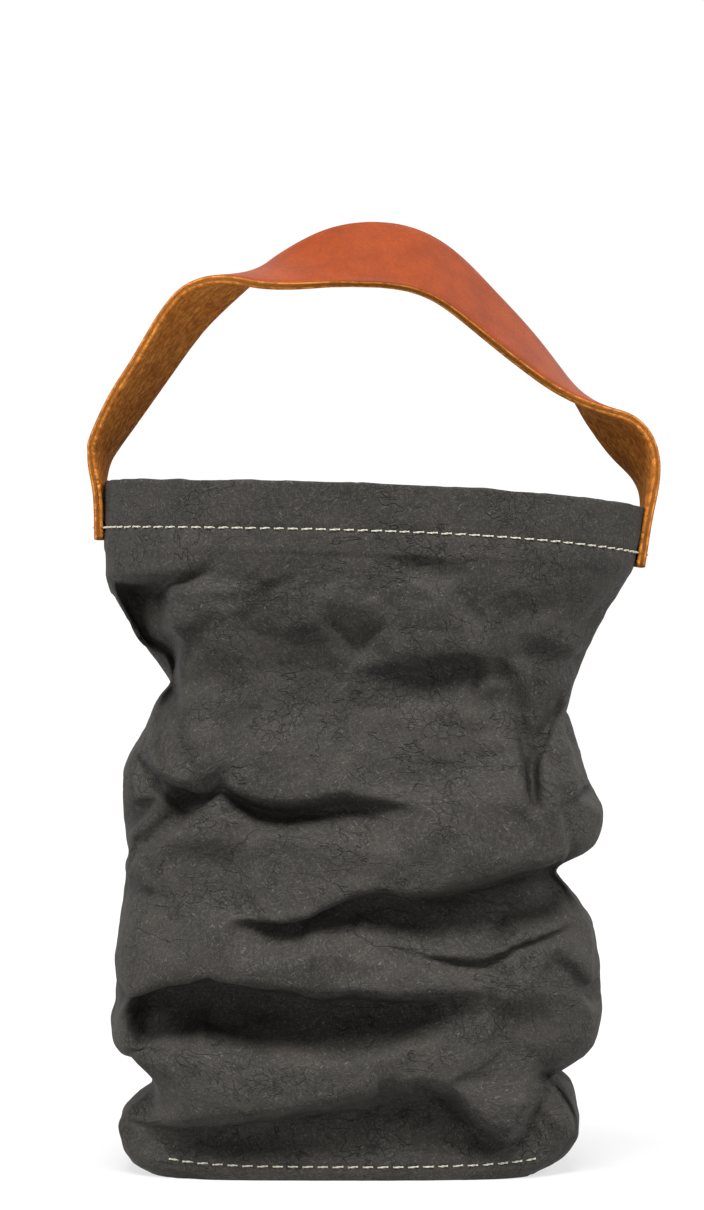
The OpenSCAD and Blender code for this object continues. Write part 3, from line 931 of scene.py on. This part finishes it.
class Nodes:
    """A small helper that adds nodes to a material and joins them."""

    def __init__(self, name):
        self.material = bpy.data.materials.new(name)
        self.material.use_nodes = True
        self.tree = self.material.node_tree
        self.shader = self.tree.nodes["Principled BSDF"]

    def add(self, kind, **values):
        node = self.tree.nodes.new("ShaderNode" + kind)
        for key, value in values.items():
            setattr(node, key, value)
        return node

    def link(self, source, target):
        self.tree.links.new(source, target)

    def set(self, node, **values):
        """Sets plain values on a node's sockets, with _ for the spaces in their names."""
        for key, value in values.items():
            node.inputs[key.replace("_", " ")].default_value = value
        return node

    def place(self, scale, turn=0.0):
        """Coordinates on the flat sheet, in metres, turned and then scaled."""
        uv_map = self.add("UVMap", uv_map="paper")
        mapping = self.add("Mapping", vector_type="TEXTURE")
        mapping.inputs["Rotation"].default_value = (0, 0, turn)
        mapping.inputs["Scale"].default_value = tuple(1 / k for k in scale)
        self.link(uv_map.outputs["UV"], mapping.inputs["Vector"])
        return mapping.outputs["Vector"]

    def noise(self, vector, scale, detail=3.0, rough=0.5):
        node = self.add("TexNoise")
        self.set(node, Scale=scale, Detail=detail, Roughness=rough)
        self.link(vector, node.inputs["Vector"])
        return node.outputs["Fac"]

    def bend(self, vector, scale, amount):
        """The same coordinates, pushed about by a noise so that lines wander."""
        node = self.add("TexNoise")
        self.set(node, Scale=scale, Detail=3.0)
        self.link(vector, node.inputs["Vector"])
        offset = self.math_vector("SUBTRACT", node.outputs["Color"], (0.5, 0.5, 0.5))
        push = self.math_vector("MULTIPLY", offset, (amount, amount, amount))
        return self.math_vector("ADD", vector, push)

    def math_vector(self, operation, a, b):
        node = self.add("VectorMath", operation=operation)
        for socket, value in zip(node.inputs, (a, b)):
            if isinstance(value, tuple):
                socket.default_value = value
            else:
                self.link(value, socket)
        return node.outputs["Vector"]

    def calc(self, operation, a, b=0.0):
        node = self.add("Math", operation=operation)
        for socket, value in zip(node.inputs, (a, b)):
            if isinstance(value, (int, float)):
                socket.default_value = value
            else:
                self.link(value, socket)
        return node.outputs["Value"]

    def step(self, value, low, high, to_low=0.0, to_high=1.0):
        node = self.add("MapRange", interpolation_type="SMOOTHSTEP")
        self.set(node, From_Min=low, From_Max=high, To_Min=to_low, To_Max=to_high)
        self.link(value, node.inputs["Value"])
        return node.outputs["Result"]

    def cracks(self, vector, scale):
        """Distance to the nearest of a net of wandering lines."""
        node = self.add("TexVoronoi", feature="DISTANCE_TO_EDGE")
        self.set(node, Scale=scale)
        self.link(vector, node.inputs["Vector"])
        return node.outputs["Distance"]

    def fibres(self, scale, turn, density):
        """A noise drawn out along one direction of the sheet."""
        return self.noise(self.bend(self.place(scale, turn), 300, 0.0012), density, 2, 0.7)

    def veins(self, vector, scale, detail, width):
        """Thin wandering lines: the places where a noise passes through its middle value."""
        away = self.calc("ABSOLUTE", self.calc("SUBTRACT", self.noise(vector, scale, detail, 0.6), 0.5))
        return self.step(away, 0.0, width, 1.0, 0.0)

    def mix(self, factor, a, b):
        node = self.add("Mix", data_type="RGBA")
        for socket, value in ((node.inputs[0], factor), (node.inputs[6], a), (node.inputs[7], b)):
            if isinstance(value, (int, float, tuple)):
                socket.default_value = value
            else:
                self.link(value, socket)
        return node.outputs[2]

    def bump(self, height, strength, distance, normal=None):
        node = self.add("Bump")
        self.set(node, Strength=strength, Distance=distance)
        self.link(height, node.inputs["Height"])
        if normal is not None:
            self.link(normal, node.inputs["Normal"])
        return node.outputs["Normal"]


def paper_material(name):
    """Washed grey-brown kraft paper: matt, with pale fibres and fine wandering creases, whose grooves are
    darkened with painted shade.
    """
    m = Nodes(name)
    flat = m.place((1, 1, 1))
    level = m.place((0.42, 1, 1))
    # The fine crease lines, used for the bump's grooves and for the painted shade in them.
    long_lines = m.veins(m.bend(level, 240, 0.0016), 88, 3, 0.0075)
    long_lines = m.calc("MULTIPLY", long_lines, m.step(m.noise(flat, 34, 2), 0.47, 0.6))
    aslant = m.veins(m.bend(m.place((1, 0.5, 1), 0.7), 260, 0.0014), 100, 3, 0.008)
    elsewhere = m.noise(m.math_vector("ADD", flat, (2, 5, 0)), 38, 2)
    aslant = m.calc("MULTIPLY", aslant, m.step(elsewhere, 0.52, 0.63))
    warped = m.bend(m.bend(flat, 130, 0.0045), 650, 0.0014)
    net = m.step(m.cracks(warped, 330), 0.0, 0.05, 1.0, 0.0)
    net = m.calc("MULTIPLY", net, m.step(m.noise(m.math_vector("ADD", flat, (3, 1, 0)), 60, 3), 0.52, 0.62))
    lines = m.calc("MAXIMUM", m.calc("MAXIMUM", long_lines, aslant), m.calc("MULTIPLY", net, 0.7))
    grain = m.noise(flat, 2200, 3, 0.75)
    mottle = m.noise(flat, 55, 4, 0.6)
    colour = m.mix(m.step(mottle, 0.3, 0.72), srgb(*PAPER_DARK), srgb(*PAPER_LIGHT))
    weave = m.calc("MAXIMUM", m.fibres((0.22, 1, 1), 0.3, 2900), m.fibres((0.22, 1, 1), 1.9, 3100))
    colour = m.mix(m.calc("MULTIPLY", m.step(weave, 0.52, 0.68), 0.42), colour, srgb(*PAPER_GRAIN))
    colour = m.mix(m.calc("MULTIPLY", m.step(grain, 0.5, 0.3), 0.5), colour, srgb(*PAPER_SPECK_AND_CREASE_SHADE))
    stray = m.calc("MAXIMUM", m.fibres((0.22, 1, 1), 0.9, 2000), m.fibres((0.22, 1, 1), 2.5, 1900))
    colour = m.mix(m.calc("MULTIPLY", m.step(stray, 0.65, 0.72), 0.42), colour, srgb(*PAPER_FIBRE))
    # Painted shade: the crease lines' grooves are darkened towards the darkest paper colour.
    colour = m.mix(m.calc("MULTIPLY", lines, 0.68), colour, srgb(*PAPER_SPECK_AND_CREASE_SHADE))
    m.link(colour, m.shader.inputs["Base Color"])
    m.set(m.shader, Roughness=0.8, Specular_IOR_Level=0.3)
    soft = m.noise(m.bend(flat, 60, 0.01), 150, 4, 0.6)
    normal = m.bump(soft, 0.45, 0.0012)
    height = m.calc("ADD", m.calc("MULTIPLY", grain, 0.12), m.calc("MULTIPLY", weave, 0.2))
    height = m.calc("SUBTRACT", height, m.calc("MULTIPLY", lines, 0.9))
    normal = m.bump(height, 0.8, 0.0005, normal)
    m.link(normal, m.shader.inputs["Normal"])
    return m.material


def grain_material():
    """Tan leather, its grain side: a soft sheen and darker worn patches."""
    m = Nodes("leather_grain")
    flat = m.place((1, 1, 1))
    patches = m.noise(flat, 120, 4, 0.6)
    colour = m.mix(m.step(patches, 0.3, 0.7), srgb(122, 46, 3), srgb(138, 56, 5))
    pores = m.cracks(m.bend(flat, 500, 0.002), 1100)
    colour = m.mix(m.step(pores, 0.0, 0.2, 0.4, 0.0), colour, srgb(92, 38, 11))
    m.link(colour, m.shader.inputs["Base Color"])
    m.set(m.shader, Roughness=0.58, Specular_IOR_Level=0.22)
    m.link(m.bump(m.noise(flat, 700, 4, 0.7), 0.35, 0.0004), m.shader.inputs["Normal"])
    return m.material


def suede_material():
    """The flesh side of the leather: matt, fibrous and mottled."""
    m = Nodes("leather_suede")
    flat = m.place((1, 1, 1))
    nap = m.noise(m.bend(m.place((0.6, 1, 1)), 420, 0.002), 760, 5, 0.7)
    patches = m.noise(flat, 160, 3, 0.6)
    colour = m.mix(m.step(patches, 0.3, 0.7), srgb(196, 118, 46), srgb(222, 146, 64))
    colour = m.mix(m.step(nap, 0.4, 0.6, 0.7, 0.0), colour, srgb(136, 72, 24))
    m.link(colour, m.shader.inputs["Base Color"])
    m.set(m.shader, Roughness=0.95, Specular_IOR_Level=0.1)
    m.link(m.bump(nap, 1.0, 0.0014), m.shader.inputs["Normal"])
    return m.material


def thread_material():
    """Undyed cotton thread."""
    m = Nodes("cotton_thread")
    m.set(m.shader, Base_Color=srgb(176, 170, 155), Roughness=0.75)
    return m.material


def floor_material():
    """A pale floor that glows a little, so that shadows on it stay weak."""
    m = Nodes("floor")
    m.set(m.shader, Base_Color=(0.2, 0.2, 0.2, 1), Roughness=0.9, Specular_IOR_Level=0.0)
    m.set(m.shader, Emission_Color=(1, 1, 1, 1), Emission_Strength=0.66)
    return m.material


def backdrop_material():
    """A plain white screen."""
    m = Nodes("backdrop")
    m.set(m.shader, Base_Color=(0, 0, 0, 1))
    m.set(m.shader, Emission_Color=(1, 1, 1, 1), Emission_Strength=1.0)
    return m.material


# ---- Camera, light and floor ----

WORLD = 0.18
# Distant softboxes: name, strength, angle in degrees and direction.
LIGHTS = [
    ("key", 4.4, 28, (-0.05, -0.68, 1.0)),
    ("left", 2.2, 30, (-1.25, -0.42, 0.85)),
    ("right", 2.2, 30, (1.25, -0.42, 0.85)),
    ("back", 1.4, 60, (0.3, 0.9, 0.7)),
]
# Corners of the two planes, in metres.
SCREEN_CORNERS = [(-4, 4, -1), (4, 4, -1), (4, 4, 3), (-4, 4, 3)]
FLOOR_CORNERS = [(-6, -3, 0), (6, -3, 0), (6, 5, 0), (-6, 5, 0)]


def soft_sun(name, strength, angle, source):
    """A distant softbox in a given direction."""
    sun = bpy.data.objects.new(name, bpy.data.lights.new(name, "SUN"))
    sun.data.energy = strength
    sun.data.angle = math.radians(angle)
    sun.rotation_euler = (-Vector(source)).to_track_quat("-Z", "Y").to_euler()
    bpy.context.scene.collection.objects.link(sun)


def stage_plane(name, corners, material):
    """A plain plane behind or under the bag."""
    mesh = bpy.data.meshes.new(name)
    mesh.from_pydata(corners, [], [(0, 1, 2, 3)])
    plane = bpy.data.objects.new(name, mesh)
    bpy.context.scene.collection.objects.link(plane)
    plane.data.materials.append(material)


def studio():
    """The level camera, the soft lights, the screen and the floor."""
    scene = bpy.context.scene
    scene.view_settings.view_transform = "Standard"
    cam = bpy.data.objects.new("camera", bpy.data.cameras.new("camera"))
    scene.collection.objects.link(cam)
    cam.location = (0, -CAMERA_AWAY * MM, CAMERA_HEIGHT * MM)
    cam.rotation_euler = (math.pi / 2, 0, 0)
    cam.data.lens = CAMERA_LENS
    cam.data.sensor_width = 36
    cam.data.clip_end = 50
    scene.camera = cam
    world = bpy.data.worlds.new("studio")
    world.use_nodes = True
    background = world.node_tree.nodes["Background"]
    background.inputs["Color"].default_value = (1, 1, 1, 1)
    background.inputs["Strength"].default_value = WORLD
    scene.world = world
    for light in LIGHTS:
        soft_sun(*light)
    stage_plane("backdrop", SCREEN_CORNERS, backdrop_material())
    stage_plane("floor", FLOOR_CORNERS, floor_material())


# ---- Putting the bag together ----

STRAP_ROW_HALF = 11.4
SHORT_ROW_HALF = 23


def to_front_or_back(side):
    """The outward direction for the stitches of the front or the back, turned at its ends."""
    def direction(p):
        d = np.array([0.35 * (p[0] / 74) ** 9, side * 1.0, 0])
        return d / np.linalg.norm(d)
    return direction


def base_row_height(x):
    """The base's row climbs a little towards its two ends."""
    return BASE_ROW + 2.4 * np.abs(x / 52) ** 4


studio()
paper = paper_material("washed_paper")
grain, suede, cotton = grain_material(), suede_material(), thread_material()

surface, outwards = shaped_grid()
surface = relax(surface, outwards)
surface = clear_of_bottle(crumple(dimple(surface, outwards), outwards))
surface[:, :, 2] = np.maximum(surface[:, :, 2], 0)

panels, walls = {}, {}
for side_name, side in (("front", -1), ("back", 1)):
    panel, walls[side_name] = panel_mesh(side_name + "_paper", surface, outwards, side)
    finish_paper(panel, 40 if side < 0 else 80, side)
    panel.data.materials.append(paper)
    panels[side_name] = panel
trees = {name: tree_of(panel) for name, panel in panels.items()}

base = base_piece()
base.data.materials.append(paper)
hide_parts("base_panel")
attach(base, "base")

strap = strap_piece()
strap.data.materials.append(grain)
strap.data.materials.append(suede)
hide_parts("strap_arch", "left_strap_end", "right_strap_end")
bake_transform(strap)

hem_at = int(np.argmin(np.abs(ROWS_Z * RIM_LEFT - (RIM_LEFT - HEM_ROW))))
threads = []
for side_name, side in (("front", -1), ("back", 1)):
    away = to_front_or_back(side)
    threads.append(stitch_row(
        side_name + "_hem", "mouth",
        walls[side_name][hem_at, 4:-4], trees[side_name], away,
    ))
    row = row_at(walls[side_name], base_row_height)
    row = row[np.abs(row[:, 0]) < 51]
    threads.append(stitch_row(
        side_name + "_base", "base",
        row, trees[side_name], away, pitch=BASE_PITCH,
    ))

# Each side: its name and direction, where its rays start, the base's reach, and its hem row's height.
SIDES = [
    ("left", -1, 71, -CAD_BASE[0].x, RIM_LEFT - HEM_ROW),
    ("right", 1, 81, CAD_BASE[1].x, RIM_RIGHT - HEM_ROW),
]
strap_tree, base_tree = tree_of(strap), tree_of(base)
for side_name, side, strap_reach, base_reach, row_height in SIDES:
    sideways = (side, 0, 0)
    threads.append(stitch_row(
        side_name + "_strap", "mouth",
        [(side * strap_reach, y, row_height) for y in (-STRAP_ROW_HALF, 0, STRAP_ROW_HALF)],
        strap_tree, lambda p, d=sideways: d,
    ))
    threads.append(stitch_row(
        side_name + "_base", "base",
        [(side * base_reach / MM, y, BASE_ROW) for y in (-SHORT_ROW_HALF, 0, SHORT_ROW_HALF)],
        base_tree, lambda p, d=sideways: d,
    ))
    edge = walls["front"][:, 0 if side < 0 else -1]
    edge = edge[(edge[:, 2] > 12) & (edge[:, 2] < row_height - 10)]
    threads.append(stitch_row(
        side_name + "_seam", None,
        edge - np.array([side * SEAM_INSET, 1.2, 0]), trees["front"], lambda p: (0, -1, 0),
    ))

for panel_name, node in (("front", "front_panel"), ("back", "back_panel")):
    panel = panels[panel_name]
    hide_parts(node, panel_name + "_hem")
    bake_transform(panel)
for thread in threads:
    thread.data.materials.append(cotton)
